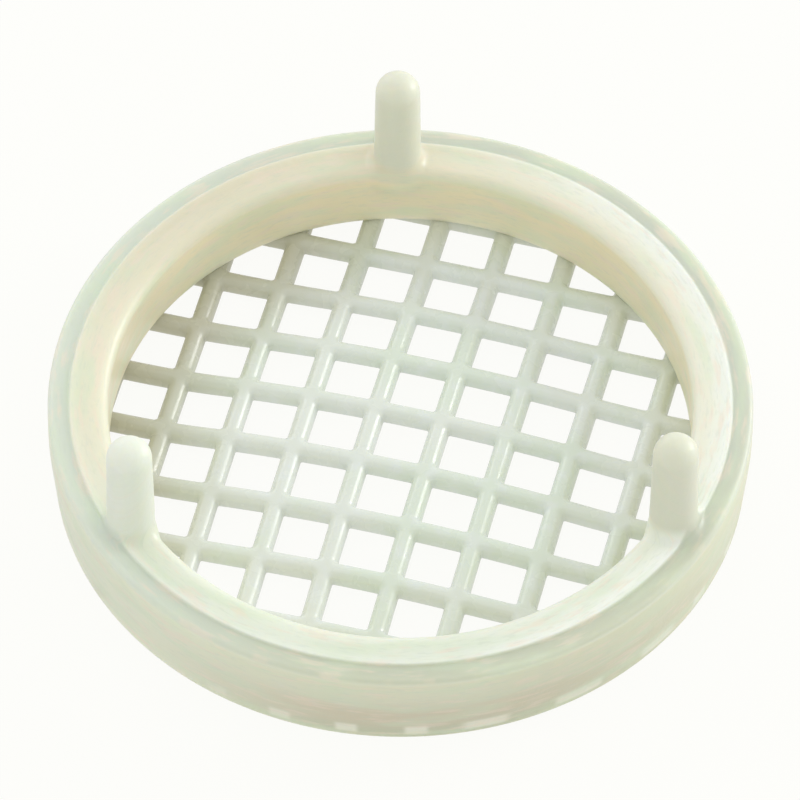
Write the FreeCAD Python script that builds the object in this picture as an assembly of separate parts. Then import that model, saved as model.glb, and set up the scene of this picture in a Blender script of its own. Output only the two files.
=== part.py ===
import FreeCAD, Part
import math
import os

# Round queen excluder: a low stepped rim, a crowned square lattice whose bars run through
# the lower part of the rim to its outer wall, and three round-ended pegs that stand on the rim.
# Millimetres. The origin is on the rim's axis, in the face it rests on, and +Z points up
# towards the peg tips. X and Y run along the two sets of lattice bars.

# The lattice
opening = 4.3              # clear side of a square opening: workers pass, the queen doesn't
pitch = 6.3                # one opening and one bar
bars_each_way = 10
bar_thickness = 1.25
bar_draft = 0.2            # how far each side of a bar leans in, up to its bevel
bar_bevel = 0.4            # along both top edges of a bar
lattice_lift = 0.7         # the underside of the lattice's edge above the resting face
crown_rise = 1.65          # how far the lattice swells up from its edge to its middle
crown_radius = 146.0       # of the swelling
crown_blend_radius = 60.0  # of the hollow curve that leads from the swelling to the flat edge

# The rim
rim_outer_radius = 32.7
rim_foot_radius = 32.2     # the outer wall leans in below its straight upper part
rim_straight_height = 5.8  # where the straight upper part begins
rim_inner_radius = 27.1
rim_height = 9.15          # up to the flat outer band
ledge_outer_radius = 30.7
ledge_step = 0.25          # how far the ledge's outer edge stands above the band
ledge_fall = 1.6           # how far the ledge slopes down towards the middle
inner_foot_chamfer = 2.3
outer_foot_round = 0.3
outer_top_round = 0.45
inner_top_round = 0.8

# The pegs
peg_count = 3
first_peg_angle = 105.0
peg_circle_radius = 28.75
peg_radius = 2.1
peg_tip_height = 21.0      # tip above the resting face
peg_tip_round = 1.8
peg_flare_height = 10.4    # where the peg's straight side ends and its foot starts to widen
peg_foot_radius = 2.45     # at its widest, just under the top of the rim
peg_foot_height = 8.9
peg_root_point = 5.5       # where its tapered root ends, inside the rim

# Worked out from the above
bar_width = pitch - opening
bar_offsets = [pitch * (i - (bars_each_way - 1) / 2) for i in range(bars_each_way)]
curve_sum = crown_radius + crown_blend_radius
crown_angle = math.acos(1 - crown_rise / curve_sum)
swelling_reach = crown_radius * math.sin(crown_angle)
crown_reach = curve_sum * math.sin(crown_angle)

# Allowances for cutting tools, which have to reach past what they cut
reach = 1.0
headroom = 3.0

origin = FreeCAD.Vector(0, 0, 0)
up = FreeCAD.Vector(0, 0, 1)
along_x = FreeCAD.Vector(1, 0, 0)
along_y = FreeCAD.Vector(0, 1, 0)


def corner_arc(before, corner, after, radius):
    """An arc that rounds the corner between two straight edges, with its end points."""
    back = (before - corner).normalize()
    onward = (after - corner).normalize()
    half_angle = back.getAngle(onward) / 2
    setback = radius / math.tan(half_angle)
    bisector = (back + onward).normalize()
    middle = corner + bisector * (radius / math.sin(half_angle) - radius)
    start = corner + back * setback
    end = corner + onward * setback
    return start, Part.Arc(start, middle, end).toShape(), end


def outline(corners):
    """A closed wire through (point, radius) corners, where radius 0 keeps a corner sharp."""
    edges = []
    ends = []
    count = len(corners)
    for i, (corner, radius) in enumerate(corners):
        if radius == 0:
            ends.append((corner, corner))
            continue
        before = corners[i - 1][0]
        after = corners[(i + 1) % count][0]
        start, arc, end = corner_arc(before, corner, after, radius)
        ends.append((start, end))
        edges.append(arc)
    for i in range(count):
        edges.append(Part.makeLine(ends[i][1], ends[(i + 1) % count][0]))
    return Part.Wire(Part.sortEdges(edges)[0])


def turned(points):
    """A solid of revolution about Z from (radius, height, corner radius) points."""
    corners = [(FreeCAD.Vector(r, 0, z), rounding) for r, z, rounding in points]
    return Part.Face(outline(corners)).revolve(origin, up, 360)


def crown_height(radius):
    """How far the lattice's underside has swollen up, at a distance from the axis."""
    if radius >= crown_reach:
        return 0.0
    if radius <= swelling_reach:
        return crown_rise - crown_radius + math.sqrt(crown_radius ** 2 - radius ** 2)
    rest = crown_reach - radius
    return crown_blend_radius - math.sqrt(crown_blend_radius ** 2 - rest ** 2)


def bar_section(centre, bottom, extra):
    """A bar's cross-section in the YZ plane, its flat top raised by extra for a cutting tool."""
    top = bottom + bar_thickness
    foot = bar_width / 2
    shoulder = foot - bar_draft
    crest = shoulder - bar_bevel
    points = [
        (foot, bottom),
        (shoulder, top - bar_bevel),
        (crest, top),
        (crest, top + extra),
        (-crest, top + extra),
        (-crest, top),
        (-shoulder, top - bar_bevel),
        (-foot, bottom),
    ]
    kept = [p for i, p in enumerate(points) if p != points[i - 1]]
    vectors = [FreeCAD.Vector(0, centre + y, z) for y, z in kept]
    return Part.Face(Part.makePolygon(vectors + vectors[:1]))


def straight_bar(centre, start, extra):
    """A flat stretch of a bar along X, from start to past the outer wall."""
    section = bar_section(centre, lattice_lift, extra)
    section.translate(along_x * start)
    return section.extrude(along_x * (rim_outer_radius + reach - start))


def half_bar(centre, extra):
    """A bar along X from its middle outwards: swelling, hollow curve, flat edge."""
    rise = crown_height(abs(centre))
    if rise == 0:
        return straight_bar(centre, 0, extra)
    angle = math.acos(1 - rise / curve_sum)
    degrees = math.degrees(angle)
    bottom = lattice_lift + rise
    below = FreeCAD.Vector(0, centre, bottom - crown_radius)
    above = below + FreeCAD.Vector(math.sin(angle), 0, math.cos(angle)) * curve_sum
    section = bar_section(centre, bottom, extra)
    swelling = section.revolve(below, along_y, degrees)
    section.rotate(below, along_y, degrees)
    hollow = section.revolve(above, along_y, -degrees)
    edge = straight_bar(centre, curve_sum * math.sin(angle), extra)
    return swelling.fuse([hollow, edge])


def within_outer_wall():
    """Everything that the rim's outer wall encloses."""
    return turned([
        (0, 0, 0),
        (rim_foot_radius, 0, 0),
        (rim_outer_radius, rim_straight_height, 0),
        (rim_outer_radius, rim_height + headroom, 0),
        (0, rim_height + headroom, 0),
    ])


def whole_bar(centre, extra=0.0):
    """A bar along X from outer wall to outer wall, before it is halved into the others."""
    half = half_bar(centre, extra)
    bar = half.fuse(half.mirror(origin, along_x))
    return bar.common(within_outer_wall()).removeSplitter()


def rim_slot(centre):
    """The flat ends of a bar along X, where they pass through the rim."""
    half = straight_bar(centre, 0, 0.0)
    foot = Part.makeCylinder(rim_outer_radius + reach, rim_height)
    foot = foot.cut(Part.makeCylinder(rim_inner_radius - reach / 2, rim_height))
    return half.fuse(half.mirror(origin, along_x)).removeSplitter().common(foot)


def across(shape):
    """A copy of a bar along X, turned to run along Y at the same distance from the axis."""
    copy = shape.copy()
    copy.rotate(origin, up, -90)
    return copy


def joint_height(x, y):
    """The height at which the two bars that cross at x, y are halved."""
    return lattice_lift + crown_height(math.hypot(x, y)) + bar_thickness / 2


def crosses(x, y):
    """Whether the bars at x and y meet inside the outer wall."""
    near_corner = math.hypot(abs(x) - bar_width / 2, abs(y) - bar_width / 2)
    return near_corner < rim_outer_radius


def joint_block(x, y, low, high):
    """A block over the square where two bars cross, between two heights."""
    corner = FreeCAD.Vector(x - bar_width / 2, y - bar_width / 2, low)
    return Part.makeBox(bar_width, bar_width, high - low, corner)


def main_piece(shape):
    """The largest solid of a cut, without the crumbs a notch can leave at a bar's end."""
    return max(shape.Solids, key=lambda solid: solid.Volume)


def lower_bar(y, tall_bars):
    """A bar along X, notched from above where the bars along Y lie in it."""
    notches = []
    for x, tall_bar in tall_bars.items():
        if crosses(x, y):
            above = joint_block(x, y, joint_height(x, y), joint_height(x, y) + headroom)
            notches.append(tall_bar.common(above))
    return main_piece(whole_bar(y).cut(notches))


def upper_bar(x):
    """A bar along Y, notched from below where it lies in the bars along X."""
    notches = []
    for y in bar_offsets:
        if crosses(x, y):
            notches.append(joint_block(x, y, -reach, joint_height(x, y)))
    return main_piece(across(whole_bar(x)).cut(notches))


def peg_blank():
    """A peg on the Z axis: round tip, straight side, flared foot, and a root with a point."""
    return turned([
        (0, peg_tip_height, 0),
        (peg_radius, peg_tip_height, peg_tip_round),
        (peg_radius, peg_flare_height, 0),
        (peg_foot_radius, peg_foot_height, 0),
        (0, peg_root_point, 0),
    ])


def peg(index):
    """One of the pegs in its place on the rim."""
    shape = peg_blank()
    shape.translate(FreeCAD.Vector(peg_circle_radius, 0, 0))
    shape.rotate(origin, up, first_peg_angle + index * 360 / peg_count)
    return shape


def rim(pegs):
    """The stepped ring, with slots through it for the bars and a socket for each peg."""
    ledge_height = rim_height + ledge_step
    ring = turned([
        (rim_inner_radius + inner_foot_chamfer, 0, 0),
        (rim_foot_radius, 0, outer_foot_round),
        (rim_outer_radius, rim_straight_height, 0),
        (rim_outer_radius, rim_height, outer_top_round),
        (ledge_outer_radius, rim_height, 0),
        (ledge_outer_radius, ledge_height, 0),
        (rim_inner_radius, ledge_height - ledge_fall, inner_top_round),
        (rim_inner_radius, inner_foot_chamfer, 0),
    ])
    slots = [rim_slot(offset) for offset in bar_offsets]
    slots += [across(slot) for slot in slots]
    return ring.cut(slots + pegs).removeSplitter()


def export(name, shape):
    """Write one sub-part, which has to be a single sound solid."""
    if len(shape.Solids) != 1 or not shape.isValid():
        raise ValueError(f"{name} has {len(shape.Solids)} solids, valid {shape.isValid()}")
    shape.Solids[0].exportStep(os.path.join("parts", name + ".step"))


def main():
    os.makedirs("parts", exist_ok=True)
    tall_bars = {offset: across(whole_bar(offset, headroom)) for offset in bar_offsets}
    for number, offset in enumerate(bar_offsets, start=1):
        export(f"lattice_bar_x_{number:02d}", lower_bar(offset, tall_bars))
        export(f"lattice_bar_y_{number:02d}", upper_bar(offset))
    pegs = [peg(index) for index in range(peg_count)]
    for number, shape in enumerate(pegs, start=1):
        export(f"peg_{number}", shape)
    export("rim", rim(pegs))


main()
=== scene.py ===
import math

import bpy
import numpy as np
from mathutils import Matrix, Vector


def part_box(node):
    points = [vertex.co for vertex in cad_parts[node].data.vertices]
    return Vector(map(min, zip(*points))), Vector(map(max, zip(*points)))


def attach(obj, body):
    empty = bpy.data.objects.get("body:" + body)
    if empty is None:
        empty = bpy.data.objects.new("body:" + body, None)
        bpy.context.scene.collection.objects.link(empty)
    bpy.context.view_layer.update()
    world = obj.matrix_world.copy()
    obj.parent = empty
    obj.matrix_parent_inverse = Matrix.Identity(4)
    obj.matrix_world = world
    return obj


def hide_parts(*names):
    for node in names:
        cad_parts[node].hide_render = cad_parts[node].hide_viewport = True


# A round plastic queen excluder on a white table. The CAD parts are the frame. Two moulded
# pieces stand for them: the rim with its pegs, and the lattice. Each is the skin of a solid
# described by signed distances, so that its edges are rounded and its joins are filleted
# as in one injection moulding. Lengths are in millimetres, apart from those of the table,
# the lights and the camera, which are in metres.

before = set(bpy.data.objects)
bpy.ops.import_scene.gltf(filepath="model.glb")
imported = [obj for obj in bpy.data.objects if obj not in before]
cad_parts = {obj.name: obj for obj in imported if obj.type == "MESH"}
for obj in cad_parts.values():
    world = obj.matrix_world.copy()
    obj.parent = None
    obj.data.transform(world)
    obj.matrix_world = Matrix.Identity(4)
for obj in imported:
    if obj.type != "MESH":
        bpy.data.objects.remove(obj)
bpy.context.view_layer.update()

MM = 0.001

# ---------------------------------------------------------------- dimensions, millimetres

rim_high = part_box("rim")[1] / MM
bar_low, bar_high = (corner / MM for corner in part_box("lattice_bar_x_05"))
next_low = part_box("lattice_bar_x_06")[0] / MM

rim_radius = rim_high.x
straight_height = 5.8       # the outer wall leans in below this
foot_radius = 32.2
ledge_height = rim_high.z   # of the ledge's outer edge, the rim's highest line
ledge_step = 0.25           # from the flat outer band up to the ledge
band_height = ledge_height - ledge_step
ledge_radius = 30.7         # where the band ends and the ledge begins
ledge_fall = 1.6            # how far the ledge slopes down to the inner wall
inner_radius = 27.1
inner_foot_chamfer = 2.3
outer_top_round = 0.5
step_round = 0.25
ledge_edge_round = 0.2
inner_top_round = 1.0
foot_round = 0.3

peg_flare = 0.35            # how much wider a peg's foot is than its side, in radius
peg_taper = 0.18            # how much its side widens over its height above the ledge
peg_taper_start = 0.2       # the share of that height, from the tip, where it has its plain radius
peg_taper_end = 1.3         # the share beyond which it widens no more, inside the rim
peg_tip_round = 1.9
peg_root_height = 6.6       # of the hidden lower end, inside the rim
peg_root_round = 1.4
peg_fillet = 1.1

pitch = next_low.y - bar_low.y
bar_width = bar_high.y - bar_low.y
opening = pitch - bar_width
openings_beside_middle = sum(name.startswith("lattice_bar_x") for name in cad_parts) // 2
opening_corner = 0.14
bar_thickness = 1.25
bar_draft = 0.2             # how far each side of a bar leans in, up to its bevel
bar_bevel = 0.4
bar_edge_round = 0.13
bar_foot_round = 0.06
bar_end_cover = 0.15        # how far inside the rim's outer wall the bars end
bar_end_round = 0.05
lattice_lift = bar_low.z    # the underside of the lattice's edge above the table
crown_rise = 1.65           # how far the lattice swells up from its edge to its middle
crown_radius = 146.0
crown_blend_radius = 60.0   # of the hollow curve between the swelling and the flat edge

crown_angle = math.acos(1 - crown_rise / (crown_radius + crown_blend_radius))
swelling_reach = crown_radius * math.sin(crown_angle)
crown_reach = (crown_radius + crown_blend_radius) * math.sin(crown_angle)

PEGS = []
for name in ("peg_1", "peg_2", "peg_3"):
    low, high = (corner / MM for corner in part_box(name))
    radius = (high.x - low.x) / 2 - peg_flare
    PEGS.append(((low.x + high.x) / 2, (low.y + high.y) / 2, radius, high.z))


# ---------------------------------------------------------------- signed distances

def meet(a, b, radius):
    """What is inside both solids, its edge rounded."""
    corner = np.hypot(np.maximum(a + radius, 0), np.maximum(b + radius, 0))
    return np.minimum(np.maximum(a, b), -radius) + corner


def join(a, b, radius):
    """What is inside either solid, with a fillet between them."""
    return -meet(-a, -b, radius)


def beyond_wall(radius, height):
    """How far a point lies outside the rim's outer wall."""
    lean = (rim_radius - foot_radius) / straight_height
    leaning = (radius - rim_radius + (straight_height - height) * lean) / math.hypot(1, lean)
    return np.maximum(radius - rim_radius, leaning)


def ring(radius, height):
    """The rim's cross-section: outer band, raised ledge that slopes inwards, chamfered foot."""
    band = meet(beyond_wall(radius, height), height - band_height, outer_top_round)
    run = ledge_radius - inner_radius
    slope = (height - ledge_height) * run - (radius - ledge_radius) * ledge_fall
    slope = slope / math.hypot(run, ledge_fall)
    ledge = meet(radius - ledge_radius, slope, ledge_edge_round)
    top = join(band, ledge, step_round)
    body = meet(top, inner_radius - radius, inner_top_round)
    body = meet(body, -height, foot_round)
    chamfer = (inner_radius + inner_foot_chamfer - radius - height) / math.sqrt(2)
    return meet(body, chamfer, foot_round)


def peg(points, centre_x, centre_y, radius, tip):
    """A round-ended peg that widens a little towards its foot."""
    away = np.hypot(points[:, 0] - centre_x, points[:, 1] - centre_y)
    height = points[:, 2]
    share = np.clip((tip - height) / (tip - ledge_height), 0, peg_taper_end)
    side = away - radius - peg_taper * (share - peg_taper_start)
    body = meet(side, height - tip, peg_tip_round)
    return meet(body, peg_root_height - height, peg_root_round)


def rim_field(points):
    """The rim and its pegs as one solid, filleted together."""
    solid = ring(np.hypot(points[:, 0], points[:, 1]), points[:, 2])
    for centre_x, centre_y, radius, tip in PEGS:
        solid = join(solid, peg(points, centre_x, centre_y, radius, tip), peg_fillet)
    return solid


def crown_height(radius):
    """How far the lattice's underside has swollen up: swelling, hollow curve, flat edge."""
    swelling = np.sqrt(crown_radius ** 2 - radius ** 2) - crown_radius + crown_rise
    rest = np.clip(crown_reach - radius, 0, crown_blend_radius)
    hollow = crown_blend_radius - np.sqrt(crown_blend_radius ** 2 - rest ** 2)
    return np.where(radius < swelling_reach, swelling, hollow)


def beyond_opening(x, y):
    """How far a point lies outside the nearest round-cornered opening's foot."""
    straight = opening / 2 - opening_corner
    u = np.abs(x - pitch * np.round(x / pitch)) - straight
    v = np.abs(y - pitch * np.round(y / pitch)) - straight
    corner = np.hypot(np.maximum(u, 0), np.maximum(v, 0))
    return corner + np.minimum(np.maximum(u, v), 0) - opening_corner


def lattice_field(points):
    """The crowned lattice, whose bars run on through the foot of the rim."""
    x, y, z = points.T
    radius = np.hypot(x, y)
    underside = lattice_lift + crown_height(radius)
    top = z - underside - bar_thickness
    lean = bar_draft * np.clip((z - underside) / (bar_thickness - bar_bevel), -1, 2)
    wall = lean - beyond_opening(x, y)
    bevel = (wall + top + bar_bevel) / math.sqrt(2)
    edge = meet(meet(top, bevel, bar_edge_round), wall, bar_edge_round)
    solid = meet(edge, underside - z, bar_foot_round)
    return meet(solid, beyond_wall(radius, z) + bar_end_cover, bar_end_round)


# ---------------------------------------------------------------- skins

def cell_points(values, cells, axes):
    """For each cell that the surface crosses, the mean of its edge crossings, on the axes."""
    offsets = [np.array([n >> 2 & 1, n >> 1 & 1, n & 1]) for n in range(8)]
    at_corner = [values[tuple((cells + offset).T)] for offset in offsets]
    total = np.zeros(cells.shape)
    found = np.zeros(len(cells))
    for a in range(8):
        for b in (a | 1, a | 2, a | 4):
            if a == b:
                continue
            crossed = (at_corner[a] < 0) != (at_corner[b] < 0)
            gap = np.where(crossed, at_corner[a] - at_corner[b], 1)
            share = np.where(crossed, at_corner[a] / gap, 0)[:, None]
            spot = offsets[a] + share * (offsets[b] - offsets[a])
            total += crossed[:, None] * spot
            found += crossed
    local = total / found[:, None]
    columns = []
    for axis, ticks in enumerate(axes):
        start = ticks[cells[:, axis]]
        columns.append(start + local[:, axis] * (ticks[cells[:, axis] + 1] - start))
    return columns


def cell_quads(inside, number, wrap):
    """A quad round each grid edge that the surface crosses, facing outwards."""
    quads = []
    for axis in range(3):
        e, f = (axis + 1) % 3, (axis + 2) % 3
        count = inside.shape[axis] - 1
        near = np.take(inside, range(count), axis)
        far = np.take(inside, range(1, count + 1), axis)
        edges = np.argwhere(near != far)
        for side in (e, f):
            lowest = 0 if side == wrap else 1
            edges = edges[(edges[:, side] >= lowest) & (edges[:, side] < number.shape[side])]
        around = []
        for step_e, step_f in ((0, 0), (1, 0), (1, 1), (0, 1)):
            cell = edges.copy()
            cell[:, e] -= step_e
            cell[:, f] -= step_f
            cell %= np.array(number.shape)
            around.append(number[tuple(cell.T)])
        found = np.stack(around, axis=1)
        leaving = near[tuple(edges.T)]
        found[~leaving] = found[~leaving][:, ::-1]
        quads.append(found)
    return np.concatenate(quads)


def settle(points, field, rounds):
    """Moves points onto the surface where field is zero."""
    probe = 0.004
    least_square = 0.05
    longest_move = 0.15
    for _ in range(rounds):
        slopes = []
        for axis in range(3):
            shift = np.zeros(3)
            shift[axis] = probe
            slopes.append((field(points + shift) - field(points - shift)) / (2 * probe))
        slope = np.stack(slopes, axis=1)
        square = np.maximum((slope ** 2).sum(1), least_square)
        move = slope * (field(points) / square)[:, None]
        points = points - np.clip(move, -longest_move, longest_move)
    return points


def relax(points, quads, field, rounds):
    """Evens out the quads along the surface."""
    pull = 0.4
    pairs = np.concatenate([quads[:, [i, (i + 1) % 4]] for i in range(4)])
    pairs = np.concatenate([pairs, pairs[:, ::-1]])
    count = np.bincount(pairs[:, 0], minlength=len(points))[:, None]
    for _ in range(rounds):
        columns = [
            np.bincount(pairs[:, 0], points[pairs[:, 1], axis], len(points))
            for axis in range(3)
        ]
        mean = np.stack(columns, axis=1) / count
        points = settle(points * (1 - pull) + mean * pull, field, 2)
    return points


def skin(name, field, axes, place, wrap=None, evening=0):
    """A mesh object of the surface where field is zero, found on a grid of three axes.

    place turns the three grid values into x, y and z. wrap is the axis that closes on itself.
    """
    axes = [np.asarray(ticks) for ticks in axes]
    if wrap is not None:
        axes[wrap] = np.append(axes[wrap], axes[wrap][0] + 2 * math.pi)
    grid = np.meshgrid(*axes, indexing="ij")
    values = field(place(*[g.ravel() for g in grid])).reshape(grid[0].shape)
    inside = values < 0
    count = np.zeros([n - 1 for n in inside.shape], int)
    for i in (0, 1):
        for j in (0, 1):
            for k in (0, 1):
                count += inside[i:i + count.shape[0], j:j + count.shape[1], k:k + count.shape[2]]
    active = (count > 0) & (count < 8)
    cells = np.argwhere(active)
    number = np.full(active.shape, -1)
    number[active] = np.arange(len(cells))
    points = place(*cell_points(values, cells, axes))
    quads = cell_quads(inside, number, wrap)
    points = settle(points, field, 3)
    points = relax(points, quads, field, evening)
    mesh = bpy.data.meshes.new(name)
    mesh.from_pydata((points * MM).tolist(), [], quads.tolist())
    mesh.validate()
    mesh.polygons.foreach_set("use_smooth", [True] * len(mesh.polygons))
    piece = bpy.data.objects.new(name, mesh)
    bpy.context.scene.collection.objects.link(piece)
    print(name, len(points), "points", len(quads), "quads")
    return piece


def ticks(*spans):
    """Grid lines from (start, end, spacing) spans that follow one another."""
    lines = []
    for start, end, spacing in spans:
        lines.extend(np.linspace(start, end, max(1, round((end - start) / spacing)), endpoint=False))
    lines.append(spans[-1][1])
    return lines


def cylindrical(z, r, angle):
    """Points at a height, a distance from the axis and an angle from +X."""
    return np.stack([r * np.cos(angle), r * np.sin(angle), z], axis=-1)


def crowned(x, y, rise):
    """Points at a rise above the lattice's crowned underside."""
    return np.stack([x, y, rise + lattice_lift + crown_height(np.hypot(x, y))], axis=-1)


def moulded_rim():
    """The rim with its pegs, on a grid of rings that is finer round the pegs."""
    # Closest together where a rounded edge, a step or a fillet has to be caught
    heights = ticks(
        (-0.3, 0.5, 0.13), (0.5, 2.0, 0.25), (2.0, 2.8, 0.16), (2.8, 6.2, 0.45),
        (6.2, 7.4, 0.25), (7.4, 9.7, 0.12), (9.7, 11.1, 0.22), (11.1, 18.5, 0.45),
        (18.5, 21.3, 0.17),
    )
    radii = ticks(
        (25.3, 26.8, 0.25), (26.8, 28.2, 0.15), (28.2, 30.2, 0.27),
        (30.2, 31.2, 0.1), (31.2, 31.8, 0.2), (31.8, 33.0, 0.12),
    )
    near = math.radians(9)
    lines_near = 40
    lines_between = 96
    centres = sorted(math.atan2(y, x) % (2 * math.pi) for x, y, radius, tip in PEGS)
    angles = []
    for centre, following in zip(centres, centres[1:] + [centres[0] + 2 * math.pi]):
        angles.extend(np.linspace(centre - near, centre + near, lines_near, endpoint=False))
        angles.extend(np.linspace(centre + near, following - near, lines_between, endpoint=False))
    return skin("moulded_rim", rim_field, (heights, radii, angles), cylindrical, wrap=2, evening=3)


def moulded_lattice():
    """The lattice, on a grid that follows its crown and is finer along the bars' edges."""
    # Distances from the middle of an opening to just short of the middle of the next bar
    from_opening = [0.0, 0.85, 1.6, 1.97, 2.09, 2.2, 2.32, 2.5, 2.7, 2.86]
    bar_middle = -pitch / 2
    cell = [bar_middle] + [-line for line in from_opening[:0:-1]] + from_opening
    openings = range(-openings_beside_middle, openings_beside_middle + 1)
    across = [pitch * n + line for n in openings for line in cell]
    beyond_last_bar = across[-1] + 0.35
    across.append(beyond_last_bar)
    layers = [-0.13, -0.04, 0.04, 0.13, 0.45, 0.77, 0.9, 1.05, 1.18, 1.3, 1.4]
    return skin("moulded_lattice", lattice_field, (across, across, layers), crowned)


# ---------------------------------------------------------------- materials

def rgb(red, green, blue):
    """A colour given in display values from 0 to 255, as linear light."""
    def linear(value):
        value = value / 255
        return value / 12.92 if value <= 0.04045 else ((value + 0.055) / 1.055) ** 2.4
    return (linear(red), linear(green), linear(blue), 1.0)


ledge_colour = rgb(232, 230, 208)
# The ledge's near, far and right colours are painted light and shade: lit green-white at the front,
# shaded warmer at the back, a painted white highlight on the right.
ledge_near_lit = rgb(231, 237, 222)
ledge_far_shade = rgb(228, 224, 200)
ledge_right_highlight = rgb(241, 245, 236)
band_colour = rgb(204, 210, 195)
# The band's near and left colours are painted light: another tone at the front and lighter on the
# left of the rim.
band_near_lit = rgb(204, 209, 188)
band_left_lit = rgb(215, 223, 209)
wall_high = rgb(240, 231, 199)
wall_low = rgb(237, 233, 202)
# The inner wall's left colour is painted shade: the wall darker on the left of the rim.
wall_left_shade = rgb(222, 214, 184)
side_high = rgb(225, 226, 203)
side_middle = rgb(214, 207, 182)
side_low = rgb(198, 204, 178)
# The outer side's left and right colours are painted light: lighter on the left of the rim, another
# tone on the right.
side_left_lit = rgb(232, 236, 214)
side_right_lit = rgb(219, 222, 193)
pin_colour = rgb(221, 223, 206)
# The pegs' left colour is painted light: pegs lighter on the left of the rim.
pin_left_lit = rgb(232, 237, 225)
bar_grey = rgb(222, 228, 219)
bar_green = rgb(217, 227, 213)
bar_blue = rgb(225, 231, 228)
# The bars' olive colour is painted shade near the rim wall.
bar_olive_shade = rgb(206, 207, 184)
bar_shade = rgb(190, 188, 168)
# The bar ends lie in the outer wall; their paler colour there is painted light passing through them.
bar_end_lit = rgb(238, 238, 222)

# Bearings of the sides that get painted light or shade, in degrees from +X
lit_right_bearing = 14
lit_near_bearing = -76
marks_light_bearing = -52
shade_bearing = 165

# Noise scale and detail, the noise values between which a streak sets in, weight and colour
streak_layers = [
    (1.0, 4.0, 0.44, 0.64, 0.40, rgb(216, 230, 203)),
    (2.6, 3.0, 0.50, 0.68, 0.40, rgb(240, 225, 208)),
    (7.0, 3.0, 0.52, 0.70, 0.22, rgb(205, 214, 200)),
]


class Shader:
    """A material's node tree, built one node at a time."""

    def __init__(self, name):
        self.material = bpy.data.materials.new(name)
        self.material.use_nodes = True
        self.tree = self.material.node_tree
        self.tree.nodes.clear()

    def node(self, kind, inputs=(), **settings):
        """A node with its settings and its inputs, each a socket or a plain value."""
        made = self.tree.nodes.new("ShaderNode" + kind)
        for key, value in settings.items():
            setattr(made, key, value)
        for key, value in dict(inputs).items():
            if isinstance(value, bpy.types.NodeSocket):
                self.tree.links.new(value, made.inputs[key])
            else:
                made.inputs[key].default_value = value
        return made

    def calc(self, operation, a, b=0.0):
        """A sum, product or the like of one or two numbers."""
        return self.node("Math", {0: a, 1: b}, operation=operation).outputs[0]

    def ramp(self, value, start, end, low=0.0, high=1.0):
        """Runs smoothly from low to high as value runs from start to end."""
        inputs = {"Value": value, "From Min": start, "From Max": end, "To Min": low, "To Max": high}
        return self.node("MapRange", inputs, interpolation_type="SMOOTHSTEP").outputs[0]

    def mix(self, share, a, b):
        """Two colours mixed, b in the given share."""
        return self.node("Mix", {0: share, 6: a, 7: b}, data_type="RGBA").outputs[2]

    def noise(self, place, scale, detail):
        """Cloudy noise, mostly between 0.3 and 0.7."""
        inputs = {"Vector": place, "Scale": scale, "Detail": detail, "Roughness": 0.5}
        return self.node("TexNoise", inputs).outputs["Fac"]


def polar(shader):
    """Position in millimetres, distance from the axis, height, and the direction outwards."""
    local = shader.node("TexCoord").outputs["Object"]
    inputs = {0: local, 3: 1 / MM}
    place = shader.node("VectorMath", inputs, operation="SCALE").outputs[0]
    split = shader.node("SeparateXYZ", {0: place})
    x, y, height = split.outputs[0], split.outputs[1], split.outputs[2]
    squares = shader.calc("ADD", shader.calc("POWER", x, 2), shader.calc("POWER", y, 2))
    radius = shader.calc("SQRT", squares)
    divisor = shader.calc("MAXIMUM", radius, 0.5)
    outwards = (shader.calc("DIVIDE", x, divisor), shader.calc("DIVIDE", y, divisor))
    return place, radius, height, outwards


def toward(shader, outwards, bearing):
    """1 on the side of the part that lies at a bearing from +X, -1 on the opposite side."""
    angle = math.radians(bearing)
    along_x = shader.calc("MULTIPLY", outwards[0], math.cos(angle))
    along_y = shader.calc("MULTIPLY", outwards[1], math.sin(angle))
    return shader.calc("ADD", along_x, along_y)


def flow(shader, radius, height, outwards):
    """A place for noise that is drawn out into streaks round the rim."""
    change_round = 3.2
    change_across = 0.55
    inputs = {
        0: shader.calc("MULTIPLY", outwards[0], change_round),
        1: shader.calc("MULTIPLY", outwards[1], change_round),
        2: shader.calc("MULTIPLY", shader.calc("ADD", height, radius), change_across),
    }
    return shader.node("CombineXYZ", inputs).outputs[0]


def bar_marks(shader, radius, height, outwards):
    """Where the ends of the bars show through the rim's outer wall, softly edged."""
    marks = 0.0
    bar_share = bar_width / pitch
    for part in outwards:
        steps = shader.calc("DIVIDE", shader.calc("MULTIPLY", part, radius), pitch)
        off = shader.calc("ABSOLUTE", shader.calc("SUBTRACT", shader.calc("FRACT", steps), 0.5))
        near_bar = shader.ramp(off, 0.35 * bar_share, 0.65 * bar_share, 1.0, 0.0)
        marks = shader.calc("MAXIMUM", marks, near_bar)
    bar_top = lattice_lift + bar_thickness
    above_foot = shader.ramp(height, lattice_lift - 0.25, lattice_lift + 0.25)
    below_top = shader.ramp(height, bar_top - 0.3, bar_top + 0.3, 1.0, 0.0)
    return shader.calc("MULTIPLY", marks, shader.calc("MULTIPLY", above_foot, below_top))


def milky(shader, colour, roughness, place, depth, unevenness):
    """Satin translucent plastic of the given colour, with a faintly uneven surface.

    depth is how much of its light comes from inside, unevenness how strong its bumps are.
    """
    fine = shader.noise(place, scale=2.4, detail=3.0)
    soft = shader.noise(place, scale=0.35, detail=2.0)
    uneven = shader.calc("ADD", shader.calc("MULTIPLY", fine, 0.35), soft)
    bump = shader.node("Bump", {"Strength": unevenness, "Distance": 0.35 * MM, "Height": uneven})
    inputs = {
        "Base Color": colour,
        "Roughness": roughness,
        "IOR": 1.5,
        "Subsurface Weight": depth,
        "Subsurface Radius": (1.0, 0.92, 0.7),
        "Subsurface Scale": 2.2 * MM,
        "Normal": bump.outputs[0],
    }
    surface = shader.node("BsdfPrincipled", inputs, subsurface_method="RANDOM_WALK")
    shader.node("OutputMaterial", {"Surface": surface.outputs[0]})
    return shader.material


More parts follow.
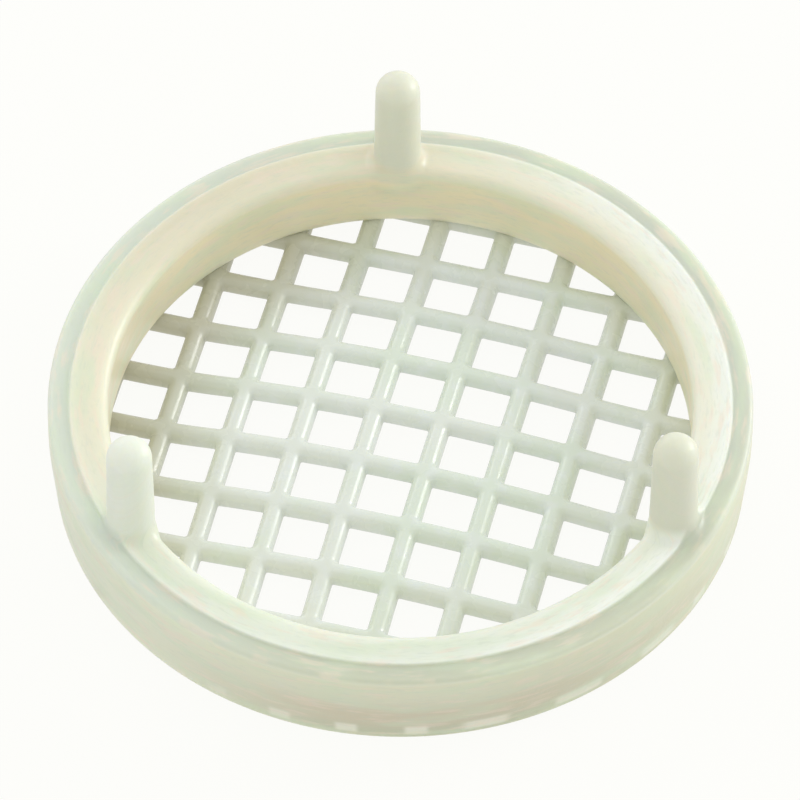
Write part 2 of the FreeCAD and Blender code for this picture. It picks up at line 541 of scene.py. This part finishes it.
def rim_colours(shader, radius, height, outwards):
    """The colours of the rim's ledge, band, inner wall, outer side and pegs, with painted light and
    shade that change with the side of the rim.
    """
    # These masks place painted light and shade by the side of the rim: right and left, near and far.
    rightness = toward(shader, outwards, lit_right_bearing)
    nearness = toward(shader, outwards, lit_near_bearing)
    right = shader.ramp(rightness, 0.1, 0.9)
    left = shader.ramp(rightness, -0.85, -0.1, 1.0, 0.0)
    near = shader.ramp(nearness, 0.0, 0.85)
    far = shader.ramp(nearness, -0.85, 0.0, 1.0, 0.0)

    # Painted light on the ledge: its colour changes with the side of the rim, ending in a painted
    # white highlight on the right, strongest towards the ledge's outer edge.
    ledge = shader.mix(near, ledge_colour, ledge_near_lit)
    ledge = shader.mix(far, ledge, ledge_far_shade)
    edge = shader.ramp(radius, inner_radius + 0.9, ledge_radius - 0.5, 0.3, 1.0)
    white = shader.calc("MULTIPLY", edge, shader.ramp(rightness, -0.1, 0.8))
    ledge = shader.mix(white, ledge, ledge_right_highlight)

    # Painted light on the band: another tone at the front, lighter on the left of the rim.
    band = shader.mix(near, band_colour, band_near_lit)
    band = shader.mix(left, band, band_left_lit)

    wall = shader.mix(shader.ramp(height, 2.2, 6.0), wall_low, wall_high)
    # Painted shade: the inner wall darker on the left side of the rim.
    wall = shader.mix(shader.ramp(rightness, -0.98, -0.72, 0.85, 0.0), wall, wall_left_shade)
    side = shader.mix(shader.ramp(height, 3.4, 7.2), side_middle, side_high)
    side = shader.mix(shader.ramp(height, 0.3, 3.2, 1.0, 0.0), side, side_low)
    # Painted light on the outer side: lighter on the left of the rim, another tone on the right.
    side = shader.mix(left, side, side_left_lit)
    side = shader.mix(shader.calc("MULTIPLY", right, 0.7), side, side_right_lit)
    marks = bar_marks(shader, radius, height, outwards)
    # The bar ends show paler only on the front right: painted light passing through them.
    marks_light_share = shader.ramp(toward(shader, outwards, marks_light_bearing), 0.35, 0.85, 0.0, 0.85)
    side = shader.mix(shader.calc("MULTIPLY", marks, marks_light_share), side, bar_end_lit)
    # Painted light: the pegs lighter on the left of the rim.
    pin = shader.mix(left, pin_colour, pin_left_lit)
    return ledge, band, wall, side, pin


def rim_plastic():
    """Creamy and green where it is thick, tan down its walls, and white on its right from a painted
    highlight.
    """
    shader = Shader("milky_plastic_rim")
    place, radius, height, outwards = polar(shader)
    ledge, band, wall, side, pin = rim_colours(shader, radius, height, outwards)

    inside = shader.ramp(radius, inner_radius + 0.1, inner_radius + 0.9, 1.0, 0.0)
    below_ledge = shader.ramp(height, ledge_height - 1.5, ledge_height - 0.7, 1.0, 0.0)
    outside = shader.ramp(radius, rim_radius - 0.9, rim_radius - 0.6)
    below_band = shader.ramp(height, band_height - 0.85, band_height - 0.15, 1.0, 0.0)
    beyond_ledge = shader.ramp(radius, ledge_radius - 0.15, ledge_radius + 0.15)
    at_band = shader.ramp(height, band_height - 0.85, band_height - 0.15)
    on_peg = shader.ramp(height, ledge_height + 0.1, ledge_height + 1.6)
    colour = shader.mix(shader.calc("MULTIPLY", beyond_ledge, at_band), ledge, band)
    colour = shader.mix(shader.calc("MULTIPLY", inside, below_ledge), colour, wall)
    colour = shader.mix(shader.calc("MULTIPLY", outside, below_band), colour, side)
    colour = shader.mix(on_peg, colour, pin)

    streaks = flow(shader, radius, height, outwards)
    strength = shader.ramp(height, ledge_height, ledge_height + 1.6, 1.0, 0.25)
    for scale, detail, start, end, weight, tint in streak_layers:
        share = shader.ramp(shader.noise(streaks, scale, detail), start, end, 0.0, weight)
        colour = shader.mix(shader.calc("MULTIPLY", share, strength), colour, tint)
    patches = shader.noise(place, scale=0.5, detail=2.0)
    roughness = shader.ramp(patches, 0.3, 0.7, low=0.34, high=0.48)
    return milky(shader, colour, roughness, place, depth=0.75, unevenness=0.16)


def lattice_plastic():
    """Grey-green bars, with painted shade: olive near the rim wall and darkest towards its far left.
    """
    shader = Shader("milky_plastic_lattice")
    place, radius, height, outwards = polar(shader)
    green = shader.ramp(shader.noise(place, scale=0.11, detail=2.0), 0.4, 0.62)
    colour = shader.mix(green, bar_grey, bar_green)
    cool = shader.ramp(shader.noise(place, scale=0.45, detail=2.0), 0.48, 0.7)
    colour = shader.mix(shader.calc("MULTIPLY", cool, 0.55), colour, bar_blue)
    # Painted shade: the bars turn darker and olive towards the rim wall.
    wall_shade_share = shader.ramp(radius, inner_radius - 4.6, inner_radius + 0.4, 0.0, 0.5)
    colour = shader.mix(wall_shade_share, colour, bar_olive_shade)
    shade = shader.ramp(toward(shader, outwards, shade_bearing), 0.35, 0.95, 0.0, 0.85)
    shade = shader.calc("MULTIPLY", shade, shader.ramp(radius, 13.0, 26.0))
    colour = shader.mix(shade, colour, bar_shade)
    patches = shader.noise(place, scale=0.6, detail=2.0)
    roughness = shader.ramp(patches, 0.3, 0.7, low=0.2, high=0.32)
    return milky(shader, colour, roughness, place, depth=0.2, unevenness=0.04)


# ---------------------------------------------------------------- surroundings, metres

table_reach = 6.0           # from the middle of the table to its edges
table_gap = 0.00005         # between the table and the part, so that they don't coincide
table_dull = (0.94, 0.94, 0.92, 1.0)
table_pale = (0.97, 0.97, 0.95, 1.0)
table_white = (1.0, 1.0, 0.972, 1.0)
table_glow = 0.78           # how strongly the white table lights the object from below
table_seen = 0.99           # how bright that glow looks to the camera
glow_share = 0.93           # the rest of the table's look is matt, and takes the shadow
sky_light = (0.8, 0.8, 0.8, 1.0)
backdrop = (0.984, 0.984, 0.957, 1.0)

view_azimuth = 14.13
view_elevation = 51.86
view_roll = 0.36
view_distance = 0.978
view_aim = 0.00905          # the height of the point that the camera is aimed at
lens_length = 475           # in millimetres, for a sensor 36 mm wide
lens_shift = -0.0007


def table_top():
    """A white table that reads as plain white and takes only a trace of shadow."""
    shader = Shader("white_table")
    place = shader.node("TexCoord").outputs["Object"]
    grain = shader.ramp(shader.noise(place, scale=30.0, detail=3.0), 0.3, 0.7, 0.985, 1.0)
    white = shader.mix(grain, table_dull, table_pale)
    seen = shader.node("LightPath").outputs["Is Camera Ray"]
    strength = shader.ramp(seen, 0.0, 1.0, table_glow, table_seen)
    glow = shader.node("Emission", {"Color": table_white, "Strength": strength})
    matt = shader.node("BsdfDiffuse", {"Color": white, "Roughness": 0.4})
    both = shader.node("MixShader", {0: glow_share, 1: matt.outputs[0], 2: glow.outputs[0]})
    shader.node("OutputMaterial", {"Surface": both.outputs[0]})
    signs = ((-1, -1), (1, -1), (1, 1), (-1, 1))
    corners = [(x * table_reach, y * table_reach, 0) for x, y in signs]
    mesh = bpy.data.meshes.new("table")
    mesh.from_pydata(corners, [], [(0, 1, 2, 3)])
    mesh.materials.append(shader.material)
    table = bpy.data.objects.new("table", mesh)
    table.location.z = -table_gap
    bpy.context.scene.collection.objects.link(table)


def direction(azimuth, elevation):
    """The way out from the object: azimuth 0 leads to -Y, azimuth 90 to +X."""
    a, e = math.radians(azimuth), math.radians(elevation)
    return Vector((math.sin(a) * math.cos(e), -math.cos(a) * math.cos(e), math.sin(e)))


def softbox(name, azimuth, elevation, distance, size, power):
    """A square white light that faces the object."""
    back = direction(azimuth, elevation)
    data = bpy.data.lights.new(name, "AREA")
    data.size = size
    data.energy = power
    lamp = bpy.data.objects.new(name, data)
    lamp.location = back * distance
    lamp.rotation_mode = "QUATERNION"
    lamp.rotation_quaternion = back.to_track_quat("Z", "Y")
    bpy.context.scene.collection.objects.link(lamp)


def sky():
    """Lights the object with one colour, and shows the camera another that matches the table."""
    world = bpy.data.worlds.new("studio")
    world.use_nodes = True
    nodes = world.node_tree.nodes
    either = nodes.new("ShaderNodeMix")
    either.data_type = "RGBA"
    either.inputs[6].default_value = sky_light
    either.inputs[7].default_value = backdrop
    seen = nodes.new("ShaderNodeLightPath").outputs["Is Camera Ray"]
    world.node_tree.links.new(seen, either.inputs[0])
    world.node_tree.links.new(either.outputs[2], nodes["Background"].inputs["Color"])
    bpy.context.scene.world = world


def camera():
    """A long lens that looks down from the front right at the middle of the rim."""
    back = direction(view_azimuth, view_elevation)
    data = bpy.data.cameras.new("camera")
    data.sensor_width = 36
    data.lens = lens_length
    data.clip_end = 50
    data.shift_x = lens_shift
    cam = bpy.data.objects.new("camera", data)
    cam.rotation_mode = "QUATERNION"
    cam.location = Vector((0, 0, view_aim)) + back * view_distance
    turn = Matrix.Rotation(math.radians(view_roll), 3, "Z")
    cam.rotation_quaternion = ((-back).to_track_quat("-Z", "Y").to_matrix() @ turn).to_quaternion()
    bpy.context.scene.collection.objects.link(cam)
    bpy.context.scene.camera = cam


# ---------------------------------------------------------------- the scene

rim = moulded_rim()
rim.data.materials.append(rim_plastic())
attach(rim, "root")
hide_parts("rim", "peg_1", "peg_2", "peg_3")

lattice = moulded_lattice()
lattice.data.materials.append(lattice_plastic())
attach(lattice, "root")
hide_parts(*[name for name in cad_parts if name.startswith("lattice_bar")])

table_top()
sky()
softbox("overhead", azimuth=-20, elevation=75, distance=0.6, size=0.5, power=0.3)
softbox("right_rear", azimuth=130, elevation=16, distance=0.5, size=0.2, power=1.0)
softbox("left_rear", azimuth=226, elevation=28, distance=0.5, size=0.25, power=0.35)
camera()
bpy.context.scene.view_settings.view_transform = "Standard"
